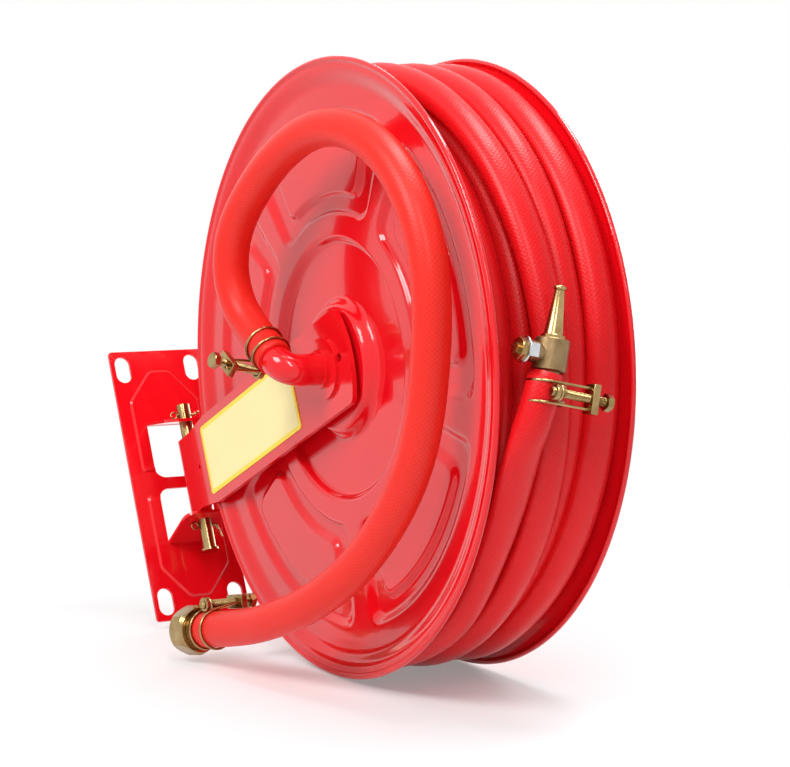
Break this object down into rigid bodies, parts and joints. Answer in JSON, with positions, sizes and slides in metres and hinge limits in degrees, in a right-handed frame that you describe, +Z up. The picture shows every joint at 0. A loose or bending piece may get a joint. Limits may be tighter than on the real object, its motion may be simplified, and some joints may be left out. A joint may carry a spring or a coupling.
{
  "type": "swinging fire hose reel",
  "caption": "Swinging fire hose reel: a red drum of hose between pressed discs on a hinged arm, with a wall plate, inlet hose and jet nozzle.",
  "frame": {"origin": "centre of the wall plate's back face, midway between its four slots, in the wall's plane", "axes": "+X along the reel's shaft from the front disc to the rear disc, +Y into the wall, +Z up along the hinge pin; the arm stands square to the wall"},
  "size_m": [0.244, 0.6399, 0.54],
  "materials": {
    "red_paint": "glossy powder coat",
    "red_hose": "satin, fine spiral weave",
    "yellow_plate": "satin, bare",
    "yellow_zinc": "yellow passivated zinc, semi-gloss",
    "bright_zinc": "bright zinc",
    "brass": "cast and turned brass",
    "black_rubber": "matt",
    "nylon": "matt"
  },
  "bodies": {
    "bracket": {"wall_plate": "red_paint", "hinge_pin": "yellow_zinc", "upper_split_pin": "yellow_zinc", "lower_split_pin": "yellow_zinc"},
    "arm": {"swing_arm": "red_paint", "label_plate": "yellow_plate", "inlet_shaft": "red_paint", "shaft_seals": "black_rubber", "front_thrust_washer": "nylon", "rear_thrust_washer": "nylon", "retaining_ring": "bright_zinc", "shaft_end_plug": "bright_zinc", "inlet_elbow": "red_paint", "inlet_hose": "red_hose", "inlet_clamp_wires": "yellow_zinc", "inlet_clamp_bar": "yellow_zinc", "inlet_clamp_bolt": "yellow_zinc", "inlet_clamp_nut": "yellow_zinc", "feed_end_clamp_wires": "yellow_zinc", "feed_end_clamp_bar": "yellow_zinc", "feed_end_clamp_bolt": "yellow_zinc", "feed_end_clamp_nut": "yellow_zinc", "tail_piece": "brass", "sealing_washer": "black_rubber"},
    "coupling_nut": {"swivel_nut": "yellow_zinc"},
    "reel": {"front_disc": "red_paint", "rear_disc": "red_paint", "drum_core": "red_paint", "hub_sleeve": "red_paint", "front_bush": "brass", "rear_bush": "brass", "outlet_elbow": "brass", "hose_root": "red_hose", "hose_winding": "red_hose", "hose_tail": "red_hose", "root_clamp_wires": "yellow_zinc", "root_clamp_bar": "yellow_zinc", "root_clamp_bolt": "yellow_zinc", "root_clamp_nut": "yellow_zinc", "nozzle_clamp_wires": "yellow_zinc", "nozzle_clamp_bar": "yellow_zinc", "nozzle_clamp_bolt": "yellow_zinc", "nozzle_clamp_nut": "yellow_zinc", "nozzle_body": "brass", "nozzle_tip": "brass"},
    "valve": {"valve_plug": "brass", "valve_lever": "bright_zinc", "lever_nut": "brass"}
  },
  "joints": [
    {"name": "arm_swing", "type": "hinge", "parent": "bracket", "child": "arm", "pos_m": [0, -0.0426, 0], "axis": [0, 0, 1], "range_deg": [-50, 30]},
    {"name": "reel_spin", "type": "hinge", "parent": "arm", "child": "reel", "pos_m": [-0.0051, -0.3536, -0.00752], "axis": [1, 0, 0], "continuous": true},
    {"name": "nut_spin", "type": "hinge", "parent": "arm", "child": "coupling_nut", "pos_m": [-0.08299, -0.14446, -0.18], "axis": [-0.1412, 0.9579, 0.25], "continuous": true},
    {"name": "valve_turn", "type": "hinge", "parent": "reel", "child": "valve", "pos_m": [0.04057, -0.61803, -0.09392], "axis": [-0.9748, -0.0911, 0.2038], "range_deg": [0, 90]}
  ]
}
